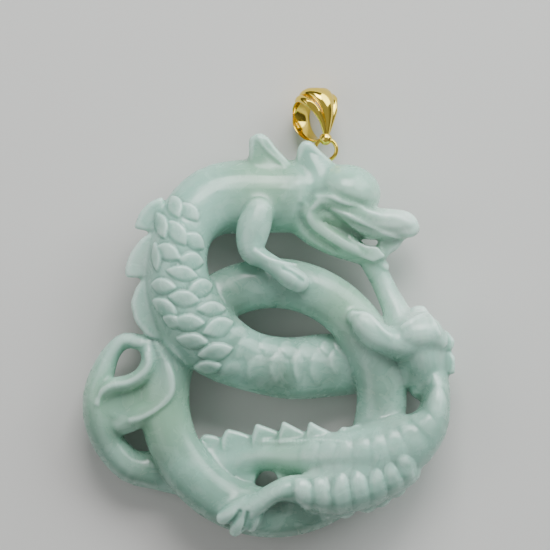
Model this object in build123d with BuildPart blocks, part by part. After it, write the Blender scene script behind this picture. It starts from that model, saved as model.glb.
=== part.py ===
from build123d import *
import math
import os

import numpy as np

# Jade dragon pendant lying on its back: a plain ring with a dragon wound round it, cut from one
# stone, with a gold jump ring and a gold bail. +Z is out of the carved face, +Y is towards the bail
# and +X is the dragon's right as seen from the front. Millimetres throughout.

# Driving dimensions of the stone
RING_WIDTH = 40.0
RING_HEIGHT = 41.8
RING_BAND = 7.5
RING_DEPTH = 6.4
RING_MIDDLE = 6.2
CARVING_DEPTH = 13.0
BODY_WIDTH = 9.2
BODY_DEPTH = 7.6
LIMB_WIDTH = 4.2
FOREHEAD_SIZE = (10.6, 8.8, 10.0)
FIN_THICKNESS = 2.4
HORN_THICKNESS = 3.2
TUFT_THICKNESS = 3.0
SCALE_LENGTH = 3.7
SCALE_WIDTH = 2.3
SCALE_RELIEF = 0.55
SCALE_PITCH = 2.35
SOFTNESS = 0.5
FACET = 1.12

# Driving dimensions of the gold
JUMP_WIRE = 0.6
JUMP_DIAMETER = 3.2
BAIL_HEIGHT = 7.4
BAIL_DEPTH = 7.2
BAIL_GAUGE = 0.6
LEAF_WIDTH = 5.4
STRAP_WIDTH = 3.0
FOOT_DIAMETER = 1.9
BAIL_ROLL = 42.0
BAIL_LEAN = 24.0
BAIL_DROOP = 20.5
RUNNING_GAP = 0.15

# The tables below give places in hundredths: x of half the ring's width, y of half its height,
# both from the middle of the ring, and z of the carving's depth from the back. Widths and depths
# are hundredths of the body's width and depth, or, for limbs and ridges, of a limb's width.

BODY = [
    # x, y, z, width, depth, from the head to the tail
    (20, 144, 35, 117, 129),
    (-2, 144, 35, 118, 129),
    (-25, 144, 36, 120, 129),
    (-46, 140, 43, 114, 121),
    (-62, 127, 55, 101, 111),
    (-69, 111, 65, 94, 103),
    (-71, 93, 68, 97, 100),
    (-68, 73, 70, 107, 100),
    (-58, 54, 68, 114, 100),
    (-40, 37, 62, 110, 100),
    (-16, 26, 52, 97, 100),
    (13, 21, 42, 101, 100),
    (39, 23, 30, 104, 95),
    (65, 24, 21, 97, 84),
    (89, 24, 19, 84, 81),
    (108, 26, 28, 75, 89),
    (120, 13, 45, 49, 105),
    (122, -1, 55, 45, 111),
    (116, -19, 65, 65, 108),
    (99, -32, 69, 97, 105),
    (76, -39, 70, 97, 103),
    (50, -41, 66, 78, 95),
    (20, -42, 52, 62, 84),
    (-8, -41, 40, 52, 79),
    (-23, -46, 31, 76, 79),
    (-46, -49, 22, 84, 82),
    (-66, -53, 20, 81, 81),
    (-88, -52, 23, 65, 76),
    (-107, -49, 28, 55, 74),
    (-122, -34, 33, 52, 74),
    (-129, -16, 38, 55, 76),
    (-132, 1, 43, 45, 74),
    (-127, 19, 45, 39, 63),
    (-120, 33, 48, 29, 55),
    (-110, 41, 52, 26, 50),
    (-96, 39, 58, 26, 50),
]

HAUNCHES = [
    # x, y, z, width, depth, of the two thighs
    [(89, -46, 69, 97, 95), (65, -56, 71, 104, 95), (44, -64, 74, 88, 84), (28, -66, 77, 62, 71)],
    [(108, 47, 58, 68, 111), (110, 34, 51, 78, 121), (114, 21, 46, 58, 111)],
]

LIMBS = {
    # x, y, z, width, depth, as shares of a limb's width
    "hind leg": [(28, -66, 78, 121, 124), (13, -64, 80, 95, 105), (-1, -67, 82, 80, 95),
                 (-13, -74, 82, 78, 90), (-22, -81, 78, 85, 86)],
    "hind toe, upper": [(-25, -79, 78, 50, 81), (-40, -86, 74, 36, 67)],
    "hind toe, middle": [(-22, -81, 77, 50, 81), (-28, -95, 69, 43, 67)],
    "hind toe, lower": [(-18, -80, 77, 50, 81), (-16, -92, 69, 36, 67)],
    "left foreleg": [(-11, 130, 73, 100, 124), (-16, 123, 80, 107, 114), (-18, 113, 82, 92, 100),
                     (-16, 103, 80, 78, 95), (-7, 96, 82, 68, 90), (5, 90, 85, 75, 90),
                     (16, 84, 83, 71, 86), (22, 79, 80, 43, 62)],
    "right foreleg": [(108, 44, 66, 142, 171), (96, 40, 72, 107, 143), (84, 40, 78, 78, 114),
                      (72, 48, 83, 85, 100), (63, 55, 82, 71, 86), (57, 56, 78, 36, 57)],
    "beard": [(69, 97, 36, 66, 100), (78, 90, 37, 62, 100), (84, 81, 37, 56, 95),
              (88, 73, 38, 60, 95), (92, 63, 42, 78, 110), (98, 51, 50, 95, 143)],
    "snout": [(43, 136, 58, 85, 133), (59, 131, 58, 92, 138), (74, 126, 55, 85, 129),
              (89, 125, 52, 100, 124), (99, 123, 51, 85, 110), (104, 120, 49, 57, 90)],
    "fang": [(88, 117, 48, 70, 100), (86, 110, 45, 66, 90), (79, 102, 40, 62, 90)],
    "jaw": [(20, 126, 42, 142, 171), (35, 119, 42, 128, 152), (50, 111, 40, 114, 133),
            (63, 104, 38, 85, 114), (75, 100, 37, 64, 95), (82, 96, 35, 36, 67)],
    "brow ridge": [(28, 143, 69, 28, 76), (39, 144, 77, 36, 71), (54, 138, 77, 36, 71),
                   (71, 132, 69, 28, 62)],
    "cheek": [(29, 137, 65, 43, 86), (29, 127, 63, 50, 86), (41, 116, 58, 50, 86)],
    "upper tuft curl": [(-92, 34, 65, 43, 81), (-94, 22, 71, 50, 81), (-102, 14, 69, 46, 81),
                        (-116, 11, 63, 50, 86), (-126, 7, 57, 64, 95), (-133, -3, 51, 78, 105)],
    "lower tuft curl": [(-81, 20, 78, 36, 67), (-77, 9, 80, 39, 71), (-80, -3, 77, 46, 76),
                        (-92, -11, 68, 46, 81), (-106, -16, 55, 50, 90), (-119, -19, 46, 64, 105)],
    "flank leaf": [(-81, 46, 82, 28, 57), (-72, 36, 85, 36, 62), (-63, 26, 78, 21, 48)],
}

FOREHEAD = (54, 146, 44)  # middle of the rounded forehead

FINS = {
    # height of the fin's middle, then its outline
    "neck": (52, [(-71, 141), (-84, 139), (-77, 151), (-65, 161), (-51, 168), (-46, 159)]),
    "first back fin": (62, [(-83, 144), (-92, 139), (-99, 131), (-104, 121), (-92, 119), (-80, 117)]),
    "second back fin": (65, [(-92, 118), (-99, 111), (-106, 102), (-110, 93), (-108, 86), (-98, 87),
                             (-84, 84)]),
    "third back fin": (65, [(-95, 89), (-103, 76), (-105, 68), (-103, 56), (-95, 44), (-81, 41),
                            (-81, 84)]),
    "outer fin, upper": (52, [(122, 49), (129, 48), (135, 39), (132, 34), (123, 31)]),
    "outer fin, lower": (50, [(123, 34), (132, 34), (136, 24), (135, 17), (125, 16)]),
    "lower fin 1": (64, [(26, -34), (26, -19), (37, -19), (50, -29), (50, -34)]),
    "lower fin 2": (57, [(7, -34), (7, -18), (14, -19), (26, -26), (28, -34)]),
    "lower fin 3": (49, [(-16, -34), (-16, -21), (-7, -19), (7, -26), (8, -34)]),
    "lower fin 4": (40, [(-40, -36), (-38, -27), (-31, -23), (-14, -30), (-14, -36)]),
    "lower fin 5": (31, [(-53, -37), (-52, -31), (-44, -28), (-37, -31), (-37, -37)]),
}

MANE_BLADE = (42, [(-19, 161), (-17, 176), (-13, 189), (-8, 189), (-3, 186), (6, 176), (17, 164)])
HORN = (40, [(14, 157), (18, 170), (19, 178), (22, 184), (27, 183), (35, 176), (44, 169), (56, 160)])
TUFT_WEB = (46, [(-95, 23), (-78, 14), (-77, 0), (-92, -11), (-114, -20), (-131, -14), (-132, 3),
                 (-107, 11)])

SCALED_STRETCHES = [
    # first and last place along the body's table, rows across half the back, spread in degrees
    (3.6, 13.0, 2, 66),
    (18.0, 21.6, 2, 62),
]
RIB_SCALES = [
    # x, y, z and turn in degrees of the long scales on the lower thigh
    (28, -73, 84, 78),
    (37, -74, 88, 82),
    (46, -72, 92, 88),
    (56, -69, 94, 96),
    (66, -65, 94, 102),
    (76, -60, 93, 110),
    (86, -54, 91, 118),
    (96, -46, 90, 128),
]

TUNNEL_PLACE = (34, 172, 40)  # middle of the jump ring's tunnel, at the foot of the horn
TUNNEL_FACING = 47.0  # degrees from +X towards +Y, from the tunnel to the middle of the jump ring

# The bail's courses: u and v in hundredths of its depth and height, then reach to the side and
# width in hundredths of the strap's or the leaf's width, and thickness in hundredths of the gauge.
STRAP = [
    (-4, 2, 0, 45, 110),
    (-22, 14, 0, 60, 100),
    (-40, 36, 0, 86, 100),
    (-46, 60, 0, 100, 100),
    (-38, 82, 0, 108, 100),
    (-16, 95, 0, 120, 100),
    (12, 95, 0, 130, 100),
    (32, 84, 0, 130, 100),
]
MIDDLE_LOBE = [
    (-6, 96, 0, 26, 100),
    (14, 98, 0, 56, 190),
    (36, 88, 0, 68, 230),
    (46, 68, 0, 62, 210),
    (42, 44, 0, 42, 180),
    (26, 22, 0, 25, 150),
    (4, 3, 0, 14, 120),
]
SIDE_LOBE = [
    (8, 92, 30, 14, 80),
    (24, 86, 36, 34, 150),
    (35, 72, 34, 38, 170),
    (37, 52, 25, 32, 150),
    (26, 28, 13, 22, 130),
    (6, 5, 3, 12, 110),
]


def place(x, y, z):
    """A point in millimetres from a table's hundredths."""
    return np.array([x * RING_WIDTH / 200, y * RING_HEIGHT / 200, z * CARVING_DEPTH / 100])


def joined(first, second):
    """Two distance fields as one form with a soft junction."""
    overlap = np.maximum(SOFTNESS - np.abs(first - second), 0)
    return np.minimum(first, second) - overlap ** 2 / (4 * SOFTNESS)


def ring_field(points):
    """Signed distance from the plain ring, whose section is an ellipse."""
    half_width = (RING_WIDTH - RING_BAND) / 2
    half_height = (RING_HEIGHT - RING_BAND) / 2
    radius = np.hypot(points[:, 0], points[:, 1])
    reach = np.maximum(np.hypot(points[:, 0] / half_width, points[:, 1] / half_height), 0.05)
    across = radius * (1 - 1 / reach) / (RING_BAND / 2)
    height = (points[:, 2] - RING_MIDDLE) / (RING_DEPTH / 2)
    return (np.hypot(across, height) - 1) * RING_DEPTH / 2


def course_field(points, rows, width, depth):
    """Signed distance from a body or limb whose elliptical section changes from row to row."""
    field = np.full(len(points), np.inf)
    for first, last in zip(rows, rows[1:]):
        start = place(*first[:3])
        step = place(*last[:3]) - start
        flat = points[:, :2] - start[:2]
        share = np.clip(flat @ step[:2] / (step[:2] @ step[:2]), 0, 1)
        half_width = (first[3] + share * (last[3] - first[3])) * width / 200
        half_depth = (first[4] + share * (last[4] - first[4])) * depth / 200
        aside = np.linalg.norm(flat - share[:, None] * step[:2], axis=1)
        above = points[:, 2] - start[2] - share * step[2]
        reach = np.hypot(aside / half_width, above / half_depth)
        field = np.minimum(field, (reach - 1) * np.minimum(half_width, half_depth))
    return field


def plate_field(points, middle, outline, thickness):
    """Signed distance from a flat fin, horn or web with rounded edges."""
    corners = np.array([place(x, y, middle) for x, y in outline])
    distance = np.full(len(points), np.inf)
    inside = np.zeros(len(points), bool)
    for first, last in zip(corners, np.roll(corners, -1, axis=0)):
        edge = last[:2] - first[:2]
        flat = points[:, :2] - first[:2]
        share = np.clip(flat @ edge / (edge @ edge), 0, 1)
        distance = np.minimum(distance, np.linalg.norm(flat - share[:, None] * edge, axis=1))
        spans = (first[1] > points[:, 1]) != (last[1] > points[:, 1])
        rise = edge[1] if edge[1] else 1.0
        inside ^= spans & (flat[:, 0] < edge[0] * flat[:, 1] / rise)
    aside = np.where(inside, -distance, distance)
    above = np.abs(points[:, 2] - corners[0][2]) - thickness / 2
    rounding = thickness / 4
    outer = np.hypot(np.maximum(aside + rounding, 0), np.maximum(above + rounding, 0))
    return np.minimum(np.maximum(aside, above) + rounding, 0) + outer - rounding


def lump_field(points, middle, axes, radii):
    """Signed distance from an ellipsoid whose axes are the rows of a matrix."""
    reach = np.linalg.norm((points - middle) @ np.array(axes).T / radii, axis=1)
    return (reach - 1) * min(radii)


def along_body(station):
    """Place, heading, half width and half depth at a station of the body's table."""
    index = min(int(station), len(BODY) - 2)
    share = station - index
    first = BODY[index]
    last = BODY[index + 1]
    start = place(*first[:3])
    step = place(*last[:3]) - start
    half_width = (first[3] + share * (last[3] - first[3])) * BODY_WIDTH / 200
    half_depth = (first[4] + share * (last[4] - first[4])) * BODY_DEPTH / 200
    return start + share * step, step / np.linalg.norm(step), half_width, half_depth


def scale_lumps():
    """Middle, axes and radii of each overlapping scale: its tip points down the body and stands out."""
    radii = (SCALE_LENGTH / 2, SCALE_WIDTH / 2, SCALE_RELIEF)
    lumps = []
    for first, last, rows, spread in SCALED_STRETCHES:
        station = first
        line = 0
        while station < last:
            middle, heading, half_width, half_depth = along_body(station)
            aside = np.cross([0, 0, 1], heading)
            aside /= np.linalg.norm(aside)
            shift = 0.5 if line % 2 else 0.0
            for column in range(-rows, rows + 1):
                angle = math.radians((column + shift) * spread / rows)
                if abs(angle) > math.radians(spread + 5):
                    continue
                outward = math.sin(angle) * aside + math.cos(angle) * np.array([0, 0, 1.0])
                seat = middle + aside * math.sin(angle) * half_width
                seat = seat + np.array([0, 0, 1.0]) * math.cos(angle) * half_depth
                lie = heading + 0.2 * outward
                lie /= np.linalg.norm(lie)
                across = np.cross(outward, lie)
                across /= np.linalg.norm(across)
                lumps.append((seat, (lie, across, np.cross(lie, across)), radii))
            index = min(int(station), len(BODY) - 2)
            gap = np.linalg.norm(place(*BODY[index + 1][:3]) - place(*BODY[index][:3]))
            station += SCALE_PITCH / gap
            line += 1
    for x, y, z, turn in RIB_SCALES:
        angle = math.radians(turn)
        axes = ((math.cos(angle), math.sin(angle), 0), (-math.sin(angle), math.cos(angle), 0), (0, 0, 1))
        lumps.append((place(x, y, z), axes, (SCALE_LENGTH * 0.8, SCALE_WIDTH / 2, SCALE_RELIEF * 1.6)))
    return lumps


def carving_field(points, lumps):
    """Signed distance from the whole carving, ground flat at the back."""
    field = joined(ring_field(points), course_field(points, BODY, BODY_WIDTH, BODY_DEPTH))
    for rows in HAUNCHES:
        field = joined(field, course_field(points, rows, BODY_WIDTH, BODY_DEPTH))
    for rows in LIMBS.values():
        field = joined(field, course_field(points, rows, LIMB_WIDTH, LIMB_WIDTH))
    for middle, outline in FINS.values():
        field = joined(field, plate_field(points, middle, outline, FIN_THICKNESS))
    field = joined(field, plate_field(points, *MANE_BLADE, FIN_THICKNESS))
    field = joined(field, plate_field(points, *HORN, HORN_THICKNESS))
    field = joined(field, plate_field(points, *TUFT_WEB, TUFT_THICKNESS))
    field = joined(field, lump_field(points, place(*FOREHEAD), np.eye(3), np.array(FOREHEAD_SIZE) / 2))
    for middle, axes, radii in lumps:
        near = np.linalg.norm(points - middle, axis=1) < SCALE_LENGTH * 1.3
        field[near] = np.minimum(field[near], lump_field(points[near], middle, axes, radii))
    return np.maximum(field, -points[:, 2])


def tidy_corners(solid):
    """Fill the few cells whose filled corners touch only across a face or across the cell."""
    while True:
        before = solid.sum()
        for axis in range(3):
            face = np.moveaxis(solid, axis, 0)
            corners = [face[:, :-1, :-1], face[:, 1:, :-1], face[:, 1:, 1:], face[:, :-1, 1:]]
            crossed = (corners[0] == corners[2]) & (corners[1] == corners[3]) & (corners[0] != corners[1])
            for corner in corners:
                corner |= crossed
        cell = [solid[i:i - 1 or None, j:j - 1 or None, k:k - 1 or None]
                for i in (0, 1) for j in (0, 1) for k in (0, 1)]
        count = sum(corner.astype(int) for corner in cell)
        for corner in range(4):
            pair = cell[corner] == cell[7 - corner]
            lone = pair & ((count == 2) & cell[corner] | (count == 6) & ~cell[corner])
            for each in cell:
                each |= lone
        if solid.sum() == before:
            return solid


def carving_mesh():
    """Corners and triangles of the carving's faceted skin, about one facet to a grid cell."""
    lumps = scale_lumps()
    spots = [place(*row[:3]) for rows in (BODY, *HAUNCHES, *LIMBS.values()) for row in rows]
    for middle, outline in (MANE_BLADE, HORN, TUFT_WEB, *FINS.values()):
        spots += [place(x, y, middle) for x, y in outline]
    room = max(BODY_WIDTH, BODY_DEPTH, LIMB_WIDTH) * 0.7 + FACET
    low = np.min(spots, axis=0) - room
    high = np.max(spots, axis=0) + room
    low[2] = -1.5 * FACET
    grid = np.stack(np.meshgrid(*map(np.arange, low, high, [FACET] * 3), indexing="ij"), axis=-1)
    shape = grid.shape[:3]
    field = carving_field(grid.reshape(-1, 3), lumps).reshape(shape)
    solid = tidy_corners(field < 0)
    field = np.where(solid, np.minimum(field, -0.05 * FACET), np.maximum(field, 0.05 * FACET))

    # One corner in each cell that the skin passes through, at the middle of its crossings
    cells = tuple(size - 1 for size in shape)
    total = np.zeros(cells + (3,))
    count = np.zeros(cells)
    quads = []
    for axis in range(3):
        ends = [slice(None)] * 3
        starts = [slice(None)] * 3
        ends[axis] = slice(1, None)
        starts[axis] = slice(None, -1)
        low = field[tuple(starts)]
        high = field[tuple(ends)]
        crossed = (low < 0) != (high < 0)
        share = low / np.where(crossed, low - high, 1)
        spots = grid[tuple(starts)] + share[..., None] * (grid[tuple(ends)] - grid[tuple(starts)])
        others = [other for other in range(3) if other != axis]
        for index in np.argwhere(crossed):
            around = []
            for first, second in ((0, 0), (1, 0), (1, 1), (0, 1)):
                cell = index.copy()
                cell[others[0]] -= first
                cell[others[1]] -= second
                around.append(tuple(cell))
                total[tuple(cell)] += spots[tuple(index)]
                count[tuple(cell)] += 1
            outward = low[tuple(index)] < 0
            if axis == 1:
                outward = not outward
            quads.append(around if outward else around[::-1])

    # Number the corners and settle them on the true surface
    used = np.argwhere(count > 0)
    number = {tuple(cell): index for index, cell in enumerate(used)}
    corners = np.array([total[tuple(cell)] / count[tuple(cell)] for cell in used])
    faces = np.array([[number[cell] for cell in quad] for quad in quads])
    for _ in range(3):
        neighbours = np.zeros_like(corners)
        visits = np.zeros(len(corners))
        for first, second in ((0, 1), (1, 2), (2, 3), (3, 0)):
            np.add.at(neighbours, faces[:, first], corners[faces[:, second]])
            np.add.at(neighbours, faces[:, second], corners[faces[:, first]])
            np.add.at(visits, faces[:, first], 1)
            np.add.at(visits, faces[:, second], 1)
        corners += 0.25 * (neighbours / visits[:, None] - corners)
        value = carving_field(corners, lumps)
        slope = np.stack([carving_field(corners + step, lumps) - value
                          for step in np.eye(3) * 0.05 * FACET], axis=1) / (0.05 * FACET)
        steepness = np.maximum((slope ** 2).sum(axis=1), 0.2)
        move = -value[:, None] * slope / steepness[:, None]
        length = np.linalg.norm(move, axis=1)
        move *= np.minimum(1, 0.3 * FACET / np.maximum(length, 1e-9))[:, None]
        corners += move
    corners[:, 2] = np.where(corners[:, 2] < 0.06 * FACET, 0, corners[:, 2])

    # Split each quad along its shorter diagonal
    first_split = np.linalg.norm(corners[faces[:, 0]] - corners[faces[:, 2]], axis=1)
    second_split = np.linalg.norm(corners[faces[:, 1]] - corners[faces[:, 3]], axis=1)
    triangles = []
    for quad, straight in zip(faces, first_split <= second_split):
        a, b, c, d = quad
        triangles += [(a, b, c), (a, c, d)] if straight else [(a, b, d), (b, c, d)]
    return corners, triangles


def faceted_solid(corners, triangles):
    """A closed solid of flat triangular faces."""
    points = [Vector(*corner) for corner in corners]
    faces = []
    for triangle in triangles:
        faces.append(Face(Wire.make_polygon([points[index] for index in triangle], close=True)))
    return Solid(Shell(faces))


# The jump ring lies level, through its tunnel and through the foot of the bail
jump_radius = JUMP_DIAMETER / 2
jump_middle = Vector(*place(*TUNNEL_PLACE)) + Vector(jump_radius, 0, 0).rotate(Axis.Z, TUNNEL_FACING)
jump_plane = Plane(origin=jump_middle, z_dir=(0, 0, 1))

# The bail's own frame: u towards the leaf, v from the foot to the top, w along its chain hole
bail_foot = jump_middle + Vector(0, jump_radius, 0)
leaf_way = Vector(0, 0, 1).rotate(Axis.Y, BAIL_ROLL).rotate(Axis.X, -BAIL_DROOP).rotate(Axis.Z, BAIL_LEAN)
top_way = Vector(0, 1, 0).rotate(Axis.X, -BAIL_DROOP).rotate(Axis.Z, BAIL_LEAN)
bail_plane = Plane(origin=bail_foot, x_dir=leaf_way, z_dir=leaf_way.cross(top_way))


def bail_sections(rows, side, width, gauge):
    """Elliptical sections along a strap or lobe of the bail, square to its course."""
    spots = []
    for u, v, reach, *_ in rows:
        spot = Vector(u * BAIL_DEPTH / 100, v * BAIL_HEIGHT / 100, side * reach * width / 100)
        spots.append(bail_plane.from_local_coords(spot))
    sections = []
    for index, (*_, wide, thick) in enumerate(rows):
        heading = spots[min(index + 1, len(rows) - 1)] - spots[max(index - 1, 0)]
        flat = bail_plane.z_dir - heading * (bail_plane.z_dir.dot(heading) / heading.dot(heading))
        with BuildSketch(Plane(origin=spots[index], x_dir=flat, z_dir=heading)) as section:
            Ellipse(wide * width / 200, thick * gauge / 200)
        sections.append(section.sketch)
    return sections


with BuildPart() as jade_carving:
    add(faceted_solid(*carving_mesh()))
    with Locations(jump_plane.location):
        Torus(jump_radius, JUMP_WIRE / 2 + RUNNING_GAP, mode=Mode.SUBTRACT)

with BuildPart() as jump_ring:
    with Locations(jump_plane.location):
        Torus(jump_radius, JUMP_WIRE / 2)

with BuildPart() as bail:
    loft(sections=bail_sections(STRAP, 0, STRAP_WIDTH, BAIL_GAUGE))
    for side, rows in ((0, MIDDLE_LOBE), (1, SIDE_LOBE), (-1, SIDE_LOBE)):
        loft(sections=bail_sections(rows, side, LEAF_WIDTH, BAIL_GAUGE))
    with Locations(bail_plane.location):
        Sphere(FOOT_DIAMETER / 2)
    with Locations(jump_plane.location):
        Torus(jump_radius, JUMP_WIRE / 2 + RUNNING_GAP, mode=Mode.SUBTRACT)

# The pendant stands on the middle of the bottom of its own box
whole = Compound([jade_carving.part, jump_ring.part, bail.part]).bounding_box()
home = Location((-whole.center().X, -whole.center().Y, -whole.min.Z))
for piece in (jade_carving, jump_ring, bail):
    piece.part.move(home)

os.makedirs("parts", exist_ok=True)
jade_carving.part.label = "jade_carving"
jump_ring.part.label = "jump_ring"
bail.part.label = "bail"
export_step(jade_carving.part, "parts/jade_carving.step", write_pcurves=False)
export_step(jump_ring.part, "parts/jump_ring.step")
export_step(bail.part, "parts/bail.step")
for piece in (jade_carving, jump_ring, bail):
    box = piece.part.bounding_box()
    print(piece.part.label, piece.part.is_valid, len(piece.part.faces()), round(piece.part.volume, 1),
          "low", box.min, "high", box.max)
print("ring's middle", home.position)
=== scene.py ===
"""The looks of a carved jade dragon pendant with a gold bail, lying face up on a pale studio floor."""

import math

import bmesh
import bpy
import numpy as np
from mathutils import Matrix, Vector
from mathutils.bvhtree import BVHTree


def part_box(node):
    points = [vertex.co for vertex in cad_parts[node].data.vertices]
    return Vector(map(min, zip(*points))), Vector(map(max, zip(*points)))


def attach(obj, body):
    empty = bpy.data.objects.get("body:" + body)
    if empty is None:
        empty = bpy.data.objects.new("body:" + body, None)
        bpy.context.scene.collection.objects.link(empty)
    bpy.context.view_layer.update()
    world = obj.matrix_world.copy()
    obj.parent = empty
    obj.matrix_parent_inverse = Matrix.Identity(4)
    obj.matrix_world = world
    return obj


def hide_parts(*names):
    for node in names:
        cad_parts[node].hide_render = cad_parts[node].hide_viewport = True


bl_info = {
    "name": "Jade Dragon Pendant",
    "version": (1, 0, 0),
    "blender": (4, 5, 0),
    "location": "View3D > Sidebar > Pendant",
    "description": "A dragon wound round a plain ring, cut from one jade, with a gold jump ring and bail",
    "category": "Object",
}

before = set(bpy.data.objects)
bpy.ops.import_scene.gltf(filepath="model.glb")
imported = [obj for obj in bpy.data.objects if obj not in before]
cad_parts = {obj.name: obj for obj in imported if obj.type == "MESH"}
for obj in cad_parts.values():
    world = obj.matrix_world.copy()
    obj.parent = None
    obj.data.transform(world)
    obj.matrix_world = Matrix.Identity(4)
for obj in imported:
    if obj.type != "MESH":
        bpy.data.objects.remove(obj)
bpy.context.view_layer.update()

# Lengths are in millimetres. The tables give places in hundredths: x of half the ring's width and y of
# half its height, both from the middle of the ring, and z of the carving's depth from the back. The
# whole carving reaches over these hundredths, which sets the tables on the CAD carving.
CARVING_REACH = ((-142.31, -99.90, 0.0), (135.64, 189.00, 104.36))
RING_HALF_WIDTH = 20.0
RING_HALF_HEIGHT = 20.9
CARVING_DEPTH = 13.0
RING_BAND = 7.5
RING_DEPTH = 6.4
RING_MIDDLE = 47.7  # height of the band's middle, in hundredths of the carving's depth
BAND_REACH = (RING_HALF_WIDTH - RING_BAND / 2, RING_HALF_HEIGHT - RING_BAND / 2)  # to the band's middle
TUNNEL_ROOM = 0.14  # clear space round the jump ring's wire
RING_GREEN_AND_SHADE = 0.78  # how green, and so how dark, the plain ring is painted, of 1: partly its own colour and partly painted shade
DEEPEST_FILL = 1.2  # the most that a crease between two forms is filled
LINE_STEP = 0.2  # between the points of a groove or a ridge
LOWEST_SCALE = 1.0  # scales on the back stay above this height, clear of its ground flats
SCALE_SPREAD = 0.6  # half of a scale's reach, as a share of its length or width in the tables
SCALE_CUT = 0.13  # depth of the cut round a scale, as a share of the relief
JADE_TRIANGLES = 188000  # the stone is thinned to these, since a piece stays under 200,000
MILLIMETRES = 1000  # in a metre

# The camera looks straight down at this place, given in hundredths as in the tables. Its distance
# and the side of the square that it sees are in metres.
CAMERA_AIM = (1.49, 87.86, 54)
CAMERA_DISTANCE = 0.7
CAMERA_SQUARE = 0.0821

BODY = [
    # x, y, z, width, depth, from the head to the tail, as shares of the body's width and depth
    (20, 144, 35, 117, 129),
    (-2, 144, 35, 118, 129),
    (-25, 144, 36, 120, 129),
    (-46, 140, 43, 114, 121),
    (-62, 127, 55, 101, 111),
    (-69, 111, 65, 94, 103),
    (-71, 93, 68, 97, 100),
    (-68, 73, 70, 107, 100),
    (-58, 54, 68, 114, 100),
    (-40, 37, 62, 110, 100),
    (-16, 26, 52, 97, 100),
    (13, 21, 42, 101, 100),
    (39, 23, 30, 104, 95),
    (65, 24, 21, 97, 84),
    (89, 24, 19, 84, 81),
    (108, 26, 28, 75, 89),
    (120, 13, 45, 49, 105),
    (122, -1, 55, 45, 111),
    (116, -19, 65, 65, 108),
    (99, -32, 69, 97, 105),
    (76, -39, 70, 97, 103),
    (50, -41, 66, 78, 95),
    (20, -42, 52, 62, 84),
    (-8, -41, 40, 52, 79),
    (-23, -46, 31, 76, 79),
    (-46, -49, 22, 84, 82),
    (-66, -53, 20, 81, 81),
    (-88, -52, 23, 65, 76),
    (-107, -49, 28, 55, 74),
    (-122, -34, 33, 52, 74),
    (-129, -16, 38, 55, 76),
    (-132, 1, 43, 45, 74),
    (-127, 19, 45, 39, 63),
    (-120, 33, 48, 29, 55),
    (-110, 41, 52, 26, 50),
    (-96, 39, 58, 26, 50),
]

HAUNCHES = {
    # x, y, z, width, depth, as shares of the body's width and depth
    "lower thigh": [(89, -46, 69, 97, 95), (65, -56, 71, 104, 95), (44, -64, 74, 88, 84),
                    (28, -66, 77, 62, 71)],
    "right haunch": [(108, 47, 58, 68, 111), (110, 34, 51, 78, 121), (113, 21, 46, 70, 111),
                     (113, 10, 44, 56, 95)],
}

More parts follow.
